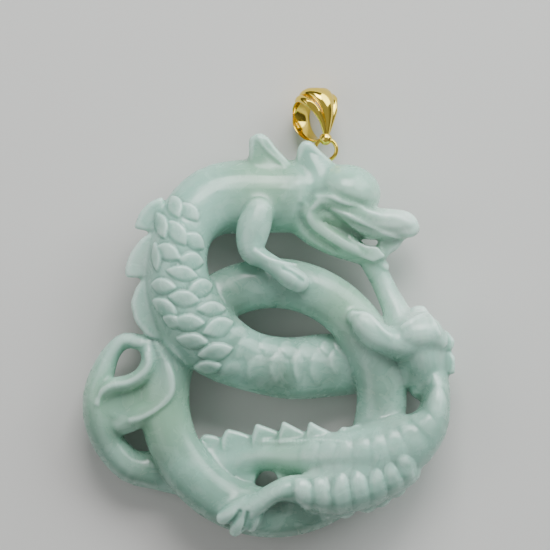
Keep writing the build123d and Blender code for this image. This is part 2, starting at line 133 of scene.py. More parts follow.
LIMBS = {
    # x, y, z, width, depth, as shares of a limb's width
    "hind leg": [(28, -66, 78, 121, 124), (13, -64, 81, 96, 110), (1, -67, 82, 75, 100),
                 (-9, -73, 82, 78, 90), (-19, -79, 79, 92, 86)],
    "hind toe, upper": [(-19, -75, 78, 64, 86), (-29, -81, 76, 64, 81), (-37, -85, 72, 50, 67)],
    "hind toe, middle": [(-19, -79, 78, 64, 86), (-24, -88, 75, 64, 76), (-28, -94, 71, 43, 57)],
    "hind toe, lower": [(-14, -79, 77, 64, 86), (-15, -86, 74, 57, 71), (-16, -91, 71, 39, 52)],
    "left foreleg": [(-11, 132, 71, 110, 124), (-14, 123, 77, 121, 114), (-16, 113, 79, 110, 100),
                     (-15, 104, 79, 89, 95), (-7, 99, 80, 68, 86), (3, 93, 82, 68, 86),
                     (12, 87, 82, 82, 76), (19, 83, 79, 78, 62)],
    "right foreleg": [(109, 43, 63, 163, 181), (97, 39, 69, 128, 148), (86, 41, 75, 100, 114),
                      (75, 46, 78, 100, 95), (66, 54, 78, 85, 81), (60, 58, 76, 50, 57)],
    "beard": [(73, 98, 37, 78, 95), (80, 86, 37, 78, 90), (86, 74, 40, 82, 95), (92, 62, 45, 96, 114),
              (97, 49, 52, 114, 143)],
    "snout": [(43, 134, 54, 92, 133), (59, 130, 54, 100, 138), (74, 126, 52, 92, 129),
              (89, 125, 51, 92, 119), (99, 124, 49, 78, 105), (104, 121, 48, 53, 86)],
    "brow strand": [(30, 136, 58, 57, 90), (37, 141, 62, 64, 90), (48, 139, 64, 68, 90),
                    (61, 134, 62, 68, 90), (76, 129, 59, 68, 90), (90, 128, 55, 71, 95),
                    (101, 124, 52, 68, 90)],
    "lip strand": [(37, 131, 57, 43, 81), (44, 134, 60, 50, 81), (53, 129, 60, 53, 86),
                   (65, 123, 58, 53, 86), (78, 119, 55, 50, 81), (90, 119, 52, 50, 81),
                   (99, 119, 49, 43, 76)],
    "jaw": [(18, 131, 38, 121, 143), (34, 120, 41, 128, 152), (50, 111, 40, 110, 133),
            (63, 104, 38, 78, 114), (75, 99, 37, 60, 95), (82, 95, 35, 36, 67)],
    "cheek strand": [(30, 138, 57, 50, 86), (28, 130, 57, 60, 90), (34, 122, 55, 68, 90),
                     (46, 114, 52, 71, 90), (59, 107, 48, 60, 90), (72, 101, 43, 50, 86),
                     (82, 94, 38, 46, 76)],
    "horn root": [(37, 149, 46, 171, 162), (34, 160, 43, 142, 129), (29, 170, 40, 100, 110),
                  (25, 178, 38, 57, 95)],
    "upper tuft curl": [(-94, 38, 59, 57, 76), (-92, 27, 64, 60, 76), (-97, 17, 64, 60, 76),
                        (-107, 11, 62, 60, 71), (-120, 8, 59, 64, 71), (-129, 1, 52, 75, 71),
                        (-131, -9, 42, 78, 71), (-131, -17, 34, 71, 71)],
    "lower tuft curl": [(-87, 40, 55, 57, 67), (-83, 30, 59, 57, 67), (-78, 19, 64, 64, 67),
                        (-78, 6, 65, 71, 67), (-84, -4, 63, 75, 67), (-95, -11, 59, 82, 67),
                        (-107, -16, 53, 85, 67), (-119, -20, 45, 85, 76), (-129, -24, 34, 71, 76)],
    "flank leaf": [(-80, 45, 68, 36, 62), (-72, 35, 71, 46, 71), (-63, 26, 69, 28, 52)],
    "neck root": [(-75, 135, 49, 64, 114), (-64, 144, 46, 78, 119), (-51, 152, 45, 85, 124),
                  (-34, 153, 42, 100, 133)],
    "mane root": [(-4, 149, 42, 171, 143), (-4, 161, 43, 142, 110), (-6, 171, 42, 100, 90),
                  (-9, 180, 42, 64, 81)],
    "flank web": [(98, 33, 57, 64, 114), (99, 23, 51, 64, 114), (100, 14, 46, 50, 105)],
    "haunch dome": [(99, 43, 65, 114, 152), (105, 45, 68, 142, 167), (113, 46, 66, 135, 167),
                    (119, 43, 60, 100, 143)],
    "rib lobe 1": [(24, -67, 62, 85, 114), (27, -76, 55, 92, 133)],
    "rib lobe 2": [(36, -68, 62, 85, 114), (39, -77, 55, 92, 133)],
    "rib lobe 3": [(50, -67, 62, 85, 114), (53, -76, 55, 92, 133)],
    "rib lobe 4": [(65, -64, 62, 85, 114), (69, -72, 55, 92, 133)],
    "rib lobe 5": [(76, -60, 62, 85, 114), (79, -68, 55, 92, 133)],
    "rib lobe 6": [(86, -54, 62, 85, 114), (90, -61, 55, 92, 133)],
    "rib lobe 7": [(95, -46, 62, 85, 114), (100, -51, 55, 92, 133)],
}

# Middle of the rounded forehead, and its size in millimetres
FOREHEAD = (54, 146, 44)
FOREHEAD_SIZE = (10.6, 8.8, 10.0)  # across, high and deep

PLATES = {
    # height of the plate's middle in hundredths, thickness in millimetres, then its outline
    "first back fin": (62, 2.4, [(-82, 144), (-92, 140), (-99, 133), (-104, 121), (-92, 119),
                                 (-79, 117)]),
    "second back fin": (65, 2.4, [(-90, 119), (-99, 113), (-106, 104), (-110, 94), (-110, 86), (-98, 86),
                                  (-84, 83)]),
    "third back fin": (65, 2.4, [(-94, 89), (-102, 79), (-106, 68), (-103, 55), (-94, 44), (-81, 41),
                                 (-81, 84)]),
    "outer fin, upper": (52, 2.6, [(122, 48), (129, 49), (136, 41), (134, 34), (122, 33)]),
    "outer fin, lower": (50, 2.6, [(122, 35), (132, 35), (137, 27), (136, 17), (123, 16)]),
    "lower fin 1": (63, 2.2, [(25, -37), (24, -27), (27, -16), (34, -20), (43, -24), (54, -30),
                              (54, -37)]),
    "lower fin 2": (57, 2.2, [(4, -37), (4, -27), (7, -16), (15, -20), (23, -24), (32, -30), (32, -37)]),
    "lower fin 3": (49, 2.2, [(-16, -37), (-16, -28), (-13, -18), (-4, -21), (4, -24), (13, -30),
                              (13, -37)]),
    "lower fin 4": (40, 2.2, [(-38, -39), (-39, -30), (-35, -22), (-26, -24), (-17, -27), (-8, -31),
                              (-8, -39)]),
    "lower fin 5": (32, 2.2, [(-56, -39), (-56, -31), (-52, -26), (-44, -27), (-35, -31), (-28, -39)]),
    "upper edge 1": (66, 2.4, [(46, -37), (46, -27), (51, -20), (57, -21), (63, -18), (72, -23),
                               (75, -37)]),
    "upper edge 2": (68, 2.6, [(63, -37), (66, -23), (72, -17), (84, -16), (93, -19), (96, -34)]),
    "mane blade": (45, 2.8, [(-20, 144), (-18, 170), (-18, 186), (-10, 190), (-3, 186), (3, 178),
                             (14, 167), (25, 149), (5, 138)]),
    "horn": (43, 3.2, [(13, 154), (18, 170), (18, 178), (22, 184), (28, 184), (36, 176), (44, 169),
                       (59, 157), (43, 144)]),
    "haunch crest": (57, 2.6, [(95, 44), (99, 59), (105, 66), (113, 66), (119, 57), (125, 46),
                               (116, 38)]),
    "tuft web": (48, 3.0, [(-94, 24), (-81, 20), (-77, 10), (-78, 0), (-92, -14), (-92, -19), (-102, -20),
                           (-116, -19), (-126, -11), (-131, -3), (-128, 6), (-111, 10)]),
    "mouth web": (46, 3.4, [(32, 139), (54, 136), (81, 123), (81, 114), (74, 113), (66, 114), (60, 116),
                            (69, 109), (78, 108), (84, 101), (75, 97), (50, 106), (34, 119)]),
    "lip web": (40, 3.2, [(81, 123), (99, 119), (97, 111), (93, 106), (87, 103), (83, 98), (78, 98),
                          (78, 108), (80, 113)]),
    "hole side": (38, 3.0, [(-31, -50), (-14, -49), (-12, -56), (-16, -67), (-28, -64)]),
    "hole top": (46, 3.0, [(-2, -46), (17, -46), (16, -59), (5, -61), (2, -54)]),
    "snout plate": (50, 3.8, [(59, 137), (77, 134), (93, 135), (102, 133), (108, 128), (110, 119),
                              (104, 114), (91, 116), (72, 119), (57, 124)]),
}

SCALES = [
    # x, y, length along its tip, width across it, both in millimetres, and where its tip points
    (-73, 137, 2.0, 3.8, 200),
    (-62, 133, 1.9, 3.2, 225),
    (-83, 123, 2.1, 4.0, 195),
    (-71, 118, 2.1, 3.9, 215),
    (-58, 112, 2.0, 3.4, 235),
    (-87, 101, 1.7, 3.8, 185),
    (-78, 104, 2.1, 3.4, 240),
    (-60, 98, 2.2, 3.6, 262),
    (-67, 89, 1.9, 4.1, 258),
    (-82, 80, 2.0, 3.6, 262),
    (-53, 79, 2.3, 4.1, 285),
    (-66, 71, 2.1, 4.0, 262),
    (-81, 65, 2.2, 3.9, 240),
    (-45, 64, 1.9, 4.2, 270),
    (-63, 54, 2.2, 4.2, 268),
    (-40, 51, 2.5, 4.5, 290),
    (-75, 55, 1.8, 2.6, 245),
    (-60, 41, 2.1, 4.2, 262),
    (-43, 33, 2.4, 4.5, 280),
    (-49, 22, 2.2, 3.8, 275),
]

MIDDLE_SCALES = [
    # the same, the softer scales of the middle stretch
    (-26, 46, 2.2, 3.8, 300),
    (-20, 36, 2.5, 4.6, 318),
    (-31, 20, 2.4, 3.9, 300),
    (-3, 38, 2.6, 3.4, 340),
    (-13, 21, 2.6, 3.8, 330),
    (4, 22, 2.7, 4.2, 352),
    (11, 36, 2.4, 3.0, 352),
    (20, 23, 2.2, 4.2, 356),
    (25, 34, 2.7, 3.4, 358),
    (34, 21, 2.9, 4.4, 0),
    (47, 26, 2.2, 3.6, 5),
    (40, 36, 2.0, 2.4, 5),
]

LOWER_SCALES = [
    # the same, the broad plates along the lower back and the flank
    (27, -41, 5.4, 3.1, 264),
    (40, -43, 6.0, 3.3, 264),
    (52, -44, 6.2, 3.4, 268),
    (66, -43, 6.2, 3.4, 272),
    (79, -41, 6.0, 3.4, 278),
    (92, -36, 5.8, 3.3, 288),
    (103, -28, 5.6, 3.2, 302),
    (113, -17, 5.0, 3.1, 318),
    (122, -7, 5.8, 3.4, 266),
]

RIB_SCALES = [
    # x, y, length, width in millimetres and where its end points, on the lower thigh
    (24, -70, 6.2, 3.1, 286),
    (36, -71, 6.6, 3.2, 280),
    (51, -71, 6.6, 3.3, 272),
    (65, -68, 6.2, 3.2, 282),
    (78, -65, 5.8, 3.1, 276),
    (89, -59, 5.4, 3.0, 284),
    (99, -50, 4.8, 2.9, 298),
]

SCALE_KINDS = [
    # rows, height in scale reliefs, how crisp the edge is, the share of a scale over which the edge
    # rounds off, and how blunt the ends are
    (SCALES, 1.05, 1.0, 0.55, 1.1),
    (MIDDLE_SCALES, 0.45, 0.3, 0.8, 1.3),
    (LOWER_SCALES, 0.65, 0.2, 1.0, 1.8),
    (RIB_SCALES, 1.5, 0.2, 1.0, 1.5),
]

GROOVES = {
    # width and depth in millimetres, then the line that the tool follows
    "mouth corner": (1.6, 0.5, [(41, 133), (49, 126), (57, 119)]),
    "mouth": (1.0, 0.6, [(59, 118), (66, 114), (72, 111), (78, 111)]),
    "under forehead": (1.6, 0.25, [(26, 141), (31, 148), (40, 149), (53, 143), (66, 138), (75, 136)]),
    "cheek back": (1.3, 0.3, [(21, 137), (20, 129), (26, 119), (36, 112), (47, 106)]),
    "hind toes 1": (0.6, 0.35, [(-25, -80), (-29, -86), (-34, -91)]),
    "hind toes 3": (0.6, 0.35, [(-19, -81), (-20, -88), (-22, -94)]),
    "left paw 1": (0.6, 0.2, [(8, 92), (15, 89), (22, 84)]),
}

RIDGES = {
    # width and height in millimetres, then the line along the ridge
    "lower back": (0.8, 0.3, [(-7, -31), (13, -31), (35, -30), (54, -31)]),
    "left forearm edge": (0.7, 0.3, [(-13, 105), (-5, 100), (4, 97), (16, 95)]),
    "right paw edge": (0.8, 0.3, [(59, 61), (66, 61), (72, 59), (77, 54), (82, 48), (88, 44)]),
    "ear": (1.6, 0.12, [(7, 142), (11, 147), (17, 152)]),
    "blade fold": (0.7, 0.2, [(-11, 186), (-4, 177), (8, 166)]),
    "brow edge": (0.7, 0.22, [(32, 144), (41, 144), (51, 140), (65, 136), (78, 131)]),
    "lip edge": (0.7, 0.25, [(40, 136), (54, 131), (69, 124), (85, 117), (98, 114)]),
    "haunch edge": (0.8, 0.3, [(96, 51), (103, 56), (114, 60), (119, 55), (123, 46)]),
    "tuft rim, upper": (0.8, 0.35, [(-93, 31), (-93, 23), (-99, 16), (-108, 11), (-120, 9), (-128, 4),
                                    (-131, -4)]),
    "tuft rim, lower": (0.9, 0.28, [(-89, 41), (-84, 34), (-78, 23), (-75, 13), (-76, 3), (-84, -6),
                                    (-96, -13), (-106, -16)]),
}

STRAP = [
    # u and v in hundredths of the bail's depth and height, reach to the side and width in hundredths
    # of the strap's width, and thickness in hundredths of the gauge
    (-6, 3, 0, 42, 110),
    (-25, 10, 0, 56, 100),
    (-43, 30, 0, 80, 100),
    (-50, 56, 0, 92, 100),
    (-42, 80, 0, 100, 100),
    (-20, 93, 0, 112, 100),
    (10, 94, 0, 126, 100),
    (32, 84, 0, 126, 100),
]
MIDDLE_LOBE = [
    # the same, as shares of the leaf's width
    (-8, 96, 0, 40, 100),
    (12, 99, 0, 78, 260),
    (34, 91, 0, 84, 320),
    (46, 70, 0, 66, 290),
    (42, 45, 0, 40, 230),
    (26, 22, 0, 22, 160),
    (4, 3, 0, 13, 120),
]
SIDE_LOBE = [
    (-2, 93, 36, 20, 100),
    (18, 88, 48, 24, 190),
    (32, 74, 48, 26, 210),
    (37, 53, 35, 25, 190),
    (27, 29, 17, 18, 150),
    (6, 5, 3, 12, 110),
]
BAIL_HEIGHT = 7.4
BAIL_DEPTH = 7.2
LEAF_WIDTH = 5.4
STRAP_WIDTH = 3.6
FOOT_DIAMETER = 1.9

# How the bail lies, in degrees: turned about its own height, leaning to the left, its top sinking
BAIL_ROLL = 42.0
BAIL_LEAN = 24.0
BAIL_DROOP = 20.5

GREEN_AND_SHADE_ZONES = [
    # x, y, radius in millimetres and strength of the greener, darker clouds: some are the stone's own
    # colour, while those on the plain ring, the right flank and the tuft's hollow are painted shade
    (52, 126, 4.0, 0.30),
    (-32, 77, 6.0, 0.9),
    (-80, -16, 6.0, 0.95),
    (13, -87, 7.0, 0.8),
    (81, 9, 6.0, 0.85),
    (84, -9, 5.0, 0.8),
    (-128, -30, 6.0, 0.75),
    (-98, -52, 6.0, 0.75),
    (54, -70, 5.0, 0.35),
    (35, 7, 5.0, 0.7),
    (10, 20, 7.0, 0.75),
    (-26, 38, 5.0, 0.45),
    (-44, 34, 6.0, 0.6),
    (-62, 70, 6.0, 0.3),
    (121, -8, 5.5, 0.95),
    (-5, 159, 5.0, 0.8),
    (54, 70, 5.0, 0.9),
    (-103, 2, 4.0, 0.9),
]

MOSS_ZONES = [
    # the same, for clouds of a warmer green
    (-6, 158, 5.5, 1.0),
    (10, 146, 4.0, 0.6),
    (57, 139, 5.0, 0.8),
    (45, 122, 6.0, 1.0),
    (72, 108, 4.0, 0.7),
    (-99, 4, 4.5, 0.9),
    (-128, 2, 5.0, 0.8),
    (-84, -12, 6.0, 0.9),
    (9, -44, 4.5, 0.6),
    (-75, 52, 4.0, 0.4),
    (56, 68, 5.0, 0.8),
]

PAINTED_HIGHLIGHT_ZONES = [
    # the same, for places painted pale as highlights where the carving catches the most light: snout,
    # haunch, right paw, back fins and lower back
    (93, 129, 5.0, 1.0),
    (110, 58, 4.5, 1.0),
    (75, 50, 4.0, 0.7),
    (-104, 100, 4.0, 0.7),
    (-104, 68, 3.0, 0.4),
    (43, -38, 6.0, 0.4),
    (88, -35, 5.0, 0.4),
    (100, 60, 3.0, 0.6),
]


def linear(code):
    """A linear colour from an sRGB hex value."""
    shares = [int(code[i:i + 2], 16) / 255 for i in (1, 3, 5)]
    return tuple(c / 12.92 if c <= 0.04045 else ((c + 0.055) / 1.055) ** 2.4 for c in shares)


class CarvingSettings(bpy.types.PropertyGroup):
    """Sizes and colours of the jade carving."""

    body_width: bpy.props.FloatProperty(
        name="Body width", description="Width of the dragon's body where its share is 100",
        default=0.0092, min=0.004, max=0.02, unit="LENGTH")
    body_depth: bpy.props.FloatProperty(
        name="Body depth", description="Depth of the dragon's body where its share is 100",
        default=0.0076, min=0.004, max=0.02, unit="LENGTH")
    limb_width: bpy.props.FloatProperty(
        name="Limb width", description="Width of a limb where its share is 100",
        default=0.0042, min=0.002, max=0.01, unit="LENGTH")
    scale_relief: bpy.props.FloatProperty(
        name="Scale relief", description="How far each scale stands out of the body",
        default=0.00045, min=0.0, max=0.002, unit="LENGTH")
    grain: bpy.props.FloatProperty(
        name="Finest detail", description="Size of the finest form that the carved surface holds",
        default=0.00018, min=0.0001, max=0.001, unit="LENGTH")
    pale: bpy.props.FloatVectorProperty(
        name="Pale jade", description="Colour of the palest stone", subtype="COLOR", size=3,
        default=linear("#a0cdbd"), min=0.0, max=1.0)
    # The greener clouds go towards this colour, and so does the painted shade on the ring and in some clouds
    green: bpy.props.FloatVectorProperty(
        name="Green jade", description="Colour of the greener clouds", subtype="COLOR", size=3,
        default=linear("#709482"), min=0.0, max=1.0)


class GoldSettings(bpy.types.PropertyGroup):
    """Sizes of the gold jump ring and bail."""

    wire: bpy.props.FloatProperty(
        name="Jump ring wire", description="Thickness of the jump ring's wire",
        default=0.0006, min=0.0003, max=0.002, unit="LENGTH")
    gauge: bpy.props.FloatProperty(
        name="Bail gauge", description="Thickness of the bail's sheet gold where its share is 100",
        default=0.0006, min=0.0003, max=0.002, unit="LENGTH")


class StudioSettings(bpy.types.PropertyGroup):
    """Light and floor of the stage."""

    key_strength: bpy.props.FloatProperty(
        name="Soft lights", description="Strength that the top, side and edge lights share",
        default=3.0, min=0.0, max=100.0)
    fill_strength: bpy.props.FloatProperty(
        name="Fill light", description="Strength of the even light from all round",
        default=0.30, min=0.0, max=10.0)


def mm(length):
    """Millimetres from a property's metres."""
    return length * MILLIMETRES


def new_data(mesh, name):
    """The finished mesh as mesh data of this name."""
    data = bpy.data.meshes.new(name)
    mesh.to_mesh(data)
    mesh.free()
    return data


def new_object(name, data):
    """An object with this data, in the scene."""
    made = bpy.data.objects.new(name, data)
    bpy.context.scene.collection.objects.link(made)
    return made


def place(x, y, z):
    """A point in millimetres from the ring's middle and the back, from a table's hundredths."""
    return Vector((x * RING_HALF_WIDTH / 100, y * RING_HALF_HEIGHT / 100, z * CARVING_DEPTH / 100))


def table_to_frame():
    """The step from the tables' millimetres to the frame's metres, read from the CAD carving."""
    low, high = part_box("jade_carving")
    first, last = place(*CARVING_REACH[0]), place(*CARVING_REACH[1])
    scale = [(high[i] - low[i]) / (last[i] - first[i]) for i in range(3)]
    move = [low[i] - scale[i] * first[i] for i in range(3)]
    return Matrix.Translation(move) @ Matrix.Diagonal((*scale, 1))


def smooth_rows(rows, steps):
    """The rows of a table with steps places in each gap, on one smooth curve through them all."""
    table = np.array(rows, float)
    table = np.vstack([2 * table[0] - table[1], table, 2 * table[-1] - table[-2]])
    result = []
    for before, first, last, after in zip(table, table[1:], table[2:], table[3:]):
        for step in range(steps):
            t = step / steps
            result.append(first + 0.5 * t * (last - before + t * (2 * before - 5 * first + 4 * last - after
                                             + t * (3 * first - before - 3 * last + after))))
    return result + [table[-2]]


def sections(mesh, spots, asides, halves, sides, closed=False):
    """Ellipses along a line of places, each square to it, bridged into one closed skin."""
    loops = []
    count = len(spots)
    for index, (spot, aside, (half_width, half_depth)) in enumerate(zip(spots, asides, halves)):
        if closed:
            heading = spots[(index + 1) % count] - spots[index - 1]
        else:
            heading = spots[min(index + 1, count - 1)] - spots[max(index - 1, 0)]
        heading.normalize()
        flat = (aside - heading * aside.dot(heading)).normalized()
        up = heading.cross(flat)
        turn = Matrix((flat * half_width, up * half_depth, heading)).transposed().to_4x4()
        turn.translation = spot
        end = not closed and index in (0, count - 1)
        made = bmesh.ops.create_circle(mesh, cap_ends=end, segments=sides, radius=1, matrix=turn)
        loops.append(list({edge for vert in made["verts"] for edge in vert.link_edges}))
    for first, last in zip(loops, loops[1:] + loops[:1] if closed else loops[1:]):
        bmesh.ops.bridge_loops(mesh, edges=first + last)


def course(mesh, rows, width, depth, sides=24):
    """A body, limb or ridge along a table's rows, with rounded ends."""
    places = smooth_rows([(*place(*row[:3]), row[3] * width / 200, row[4] * depth / 200) for row in rows],
                         steps=3)
    rounded = []
    # Each end is rounded off by four sections that get smaller
    for row, inner in ((places[0], places[1]), (places[-1], places[-2])):
        outward = (row[:3] - inner[:3]) / np.linalg.norm(row[:3] - inner[:3])
        ends = []
        for share in (0.4, 0.7, 0.9, 0.99):
            shrink = math.sqrt(1 - share * share)
            ends.append(np.array([*(row[:3] + outward * row[3] * share), row[3] * shrink, row[4] * shrink]))
        rounded.append(ends)
    places = rounded[0][::-1] + places + rounded[1]
    spots = [Vector(row[:3]) for row in places]
    asides = []
    for index in range(len(spots)):
        heading = spots[min(index + 1, len(spots) - 1)] - spots[max(index - 1, 0)]
        asides.append(Vector((0, 0, 1)).cross(heading))
    sections(mesh, spots, asides, [(row[3], row[4]) for row in places], sides)


def plate(mesh, middle, thickness, outline):
    """A fin, horn or web: its outline given a thickness, with rounded edges."""
    corners = [mesh.verts.new(place(x, y, middle) - Vector((0, 0, thickness / 2))) for x, y in outline]
    sheet = mesh.faces.new(corners)
    raised = bmesh.ops.extrude_face_region(mesh, geom=[sheet])["geom"]
    risen = [part for part in raised if isinstance(part, bmesh.types.BMVert)]
    bmesh.ops.translate(mesh, verts=risen, vec=(0, 0, thickness))
    parts = set(corners) | set(risen)
    edges = [edge for edge in mesh.edges if edge.verts[0] in parts]
    faces = list({face for edge in edges for face in edge.link_faces})
    bmesh.ops.recalc_face_normals(mesh, faces=faces)
    bmesh.ops.bevel(mesh, geom=edges, offset=thickness / 5, segments=2, profile=0.5, affect="EDGES",
                    material=-1, clamp_overlap=True)


def ball(mesh, middle, radii):
    """A rounded mass, such as the forehead."""
    turn = Matrix.Diagonal((*radii, 1))
    turn.translation = middle
    bmesh.ops.create_icosphere(mesh, subdivisions=4, radius=1, matrix=turn)


def plain_ring(mesh):
    """The plain ring that the dragon winds round, of an even oval section."""
    half_width, half_height = BAND_REACH
    count = 96
    spots = []
    asides = []
    for index in range(count):
        angle = 2 * math.pi * index / count
        spots.append(Vector((half_width * math.cos(angle), half_height * math.sin(angle),
                             RING_MIDDLE * CARVING_DEPTH / 100)))
        asides.append(Vector((math.cos(angle), math.sin(angle), 0)))
    sections(mesh, spots, asides, [(RING_BAND / 2, RING_DEPTH / 2)] * count, 32, closed=True)


def carved_forms(settings):
    """All the large forms of the carving in one mesh, overlapping where they join."""
    mesh = bmesh.new()
    plain_ring(mesh)
    body_width, body_depth, limb = mm(settings.body_width), mm(settings.body_depth), mm(settings.limb_width)
    course(mesh, BODY, body_width, body_depth, sides=32)
    for rows in HAUNCHES.values():
        course(mesh, rows, body_width, body_depth)
    for rows in LIMBS.values():
        course(mesh, rows, limb, limb)
    for middle, thickness, outline in PLATES.values():
        plate(mesh, middle, thickness, outline)
    ball(mesh, place(*FOREHEAD), [size / 2 for size in FOREHEAD_SIZE])
    return mesh


def settle(owner, name):
    """Apply the owner's modifiers, so that its mesh stands by itself under this name."""
    depsgraph = bpy.context.evaluated_depsgraph_get()
    result = bpy.data.meshes.new_from_object(owner.evaluated_get(depsgraph), depsgraph=depsgraph)
    result.name = name
    owner.modifiers.clear()
    owner.data = result


def draped(tree, outline):
    """Points along a line laid on the carving from above, in millimetres."""
    flat = [place(x, y, 0) for x, y in outline]
    rows = smooth_rows(flat, steps=8)
    points = []
    for row in rows:
        hit = tree.ray_cast(Vector((row[0], row[1], 3 * CARVING_DEPTH)), Vector((0, 0, -1)))
        if hit[0] is not None and (not points or (hit[0] - Vector(points[-1])).length > LINE_STEP):
            points.append(tuple(hit[0]))
    return np.array(points)


def worked_lines(points, tree, lines):
    """How far each point is cut by a table of grooves, or raised by one of ridges."""
    total = np.zeros(len(points))
    for width, depth, outline in lines.values():
        path = draped(tree, outline)
        low, high = path.min(0) - 2 * width, path.max(0) + 2 * width
        near = np.where(((points > low) & (points < high)).all(1))[0]
        gap = np.full(len(near), np.inf)
        for spot in path:
            gap = np.minimum(gap, np.linalg.norm(points[near] - spot, axis=1))
        total[near] = np.maximum(total[near], depth * np.exp(-(gap / (width / 2)) ** 2))
    return total


def raised_scales(points, normals, tree, relief):
    """How far each point stands out as part of a scale, and how deep the cut round the scales is."""
    risen = np.zeros(len(points))
    cut = np.zeros(len(points))
    each = [(*row, *kind) for rows, *kind in SCALE_KINDS for row in rows]
    for x, y, length, width, turn, height, crisp, rounding, point in each:
        spot = place(x, y, 0)
        for way in (-1, 1):
            start = Vector((spot.x, spot.y, -way * 3 * CARVING_DEPTH))
            middle, normal, _, _ = tree.ray_cast(start, Vector((0, 0, way)))
            if middle is None or (way == 1 and middle.z < LOWEST_SCALE):
                continue
            angle = math.radians(turn)
            tip = Vector((math.cos(angle), math.sin(angle), 0))
            tip = (tip - normal * tip.dot(normal)).normalized()
            across = normal.cross(tip)
            offset = points - np.array(middle)
            # Only points that are close by and face roughly the same way belong to the scale
            close = np.abs(offset).max(1) < max(length, width)
            near = np.where(close & (normals @ np.array(normal) > 0.2))[0]
            u = offset[near] @ np.array(tip) / (length * SCALE_SPREAD)
            v = offset[near] @ np.array(across) / (width * SCALE_SPREAD)
            deep = np.abs(offset[near] @ np.array(normal))
            reach = np.abs(u) ** point + v * v
            strong = np.clip(2.0 - deep, 0, 1)
            # The end that a scale grows from stands up crisply, and its tip sinks softly into the body
            slope = np.clip((1 - reach) / (rounding * (1 + 0.45 * np.clip(u, -1, 1))), 0, 1)
            shape = crisp * np.sqrt(slope * (2 - slope)) + (1 - crisp) * slope * slope * (3 - 2 * slope)
            shape *= 0.74 - 0.34 * u
            risen[near] = np.maximum(risen[near], height * relief * shape * strong)
            rim = np.exp(-((reach - 1.12) / 0.2) ** 2) * strong * crisp
            cut[near] = np.maximum(cut[near], SCALE_CUT * relief * rim)
    return risen, np.where(risen > 0, 0, cut)


def levelled(points, edges, rounds):
    """The points, or any values at them, each set to the mean of its neighbours again and again."""
    count = np.maximum(np.bincount(edges.ravel(), minlength=len(points)), 1)
    level = np.array(points, float)
    for _ in range(rounds):
        for axis in range(level.shape[1]):
            total = np.bincount(edges[:, 0], level[edges[:, 1], axis], len(points))
            total += np.bincount(edges[:, 1], level[edges[:, 0], axis], len(points))
            level[:, axis] = total / count
    return level


def smooth(mesh, factor):
    """Each point moved this share of the way to the mean of its neighbours."""
    bmesh.ops.smooth_vert(mesh, verts=mesh.verts, factor=factor, use_axis_x=True, use_axis_y=True,
                          use_axis_z=True)


def mesh_table(mesh):
    """The points, normals and edges of a mesh."""
    mesh.normal_update()
    mesh.verts.index_update()
    points = np.array([vert.co for vert in mesh.verts])
    normals = np.array([vert.normal for vert in mesh.verts])
    edges = np.array([(edge.verts[0].index, edge.verts[1].index) for edge in mesh.edges])
    return points, normals, edges


def blend_joints(mesh, rounds, share):
    """Creases where forms meet, filled to soft hollows; what stands out stays as it is."""
    points, normals, edges = mesh_table(mesh)
    fill = ((levelled(points, edges, rounds) - points) * normals).sum(1)
    fill = levelled(np.clip(fill, 0, DEEPEST_FILL)[:, None] * share, edges, 2)
    for vert, spot in zip(mesh.verts, points + normals * fill):
        vert.co = spot


def clouded(points, zones):
    """How far each point lies in a table of zones: clouds in the stone, or places of painted shade or
    painted highlight.
    """
    amount = np.zeros(len(points))
    for x, y, radius, strength in zones:
        gap = np.linalg.norm(points - np.array(place(x, y, 60)), axis=1) / radius
        amount = np.maximum(amount, strength * np.exp(-gap ** 2))
    return amount


def greenness_and_shade(points):
    """How green and dark each point is painted: the plain ring most, partly its own colour and partly
    painted shade, with clouds beside, some of them painted shade.
    """
    flat = points[:, :2] / BAND_REACH
    away = np.hypot((np.hypot(flat[:, 0], flat[:, 1]) - 1) * BAND_REACH[0] / (RING_BAND / 2),
                    (points[:, 2] - RING_MIDDLE * CARVING_DEPTH / 100) / (RING_DEPTH / 2))
    return np.maximum(RING_GREEN_AND_SHADE * np.clip(3.2 - 2.6 * away, 0, 1), clouded(points, GREEN_AND_SHADE_ZONES))


def work_surface(owner, settings):
    """Scales, grooves and ridges, cut into the joined carving with the points of its own mesh."""
    data = owner.data
    mesh = bmesh.new()
    mesh.from_mesh(data)
    for _ in range(2):
        smooth(mesh, 0.5)
    # Wide creases first, then narrow ones
    for rounds, share in ((60, 0.8), (15, 0.6)):
        blend_joints(mesh, rounds, share)
    points, normals, edges = mesh_table(mesh)
    tree = BVHTree.FromBMesh(mesh)
    risen, cut = raised_scales(points, normals, tree, mm(settings.scale_relief))
    cut = np.maximum(cut, worked_lines(points, tree, GROOVES))
    ridge = worked_lines(points, tree, RIDGES)
    move = np.maximum(risen, ridge) - cut
    for vert, spot in zip(mesh.verts, points + normals * move[:, None]):
        vert.co = spot
    smooth(mesh, 0.3)
    # The back is ground flat at the floor
    bmesh.ops.bisect_plane(mesh, geom=mesh.verts[:] + mesh.edges[:] + mesh.faces[:], dist=0.0001,
                           plane_co=(0, 0, 0), plane_no=(0, 0, 1), clear_inner=True)
    bmesh.ops.holes_fill(mesh, edges=[edge for edge in mesh.edges if edge.is_boundary], sides=0)
    bmesh.ops.recalc_face_normals(mesh, faces=mesh.faces)
    points, normals, edges = mesh_table(mesh)
    # Hollows are below nought and edges above it, in hundredths of a millimetre; the jade material paints
    # shade into the hollows and highlight onto the edges from it
    relief = 100 * ((points - levelled(points, edges, 24)) * normals).sum(1)
    # Painted shade: the plain ring and some clouds are painted greener and darker where shade falls
    green = levelled(greenness_and_shade(points)[:, None], edges, 6)[:, 0]
    moss = clouded(points, MOSS_ZONES)
    # Painted highlight: the places that catch the most light, to be painted paler
    milk_and_highlight = clouded(points, PAINTED_HIGHLIGHT_ZONES)
    for name, values in (("relief", relief), ("green", green), ("moss", moss), ("milk_and_highlight", milk_and_highlight)):
        layer = mesh.verts.layers.float.new(name)
        for vert, value in zip(mesh.verts, values):
            vert[layer] = value
    mesh.to_mesh(data)
    mesh.free()
    data.update()


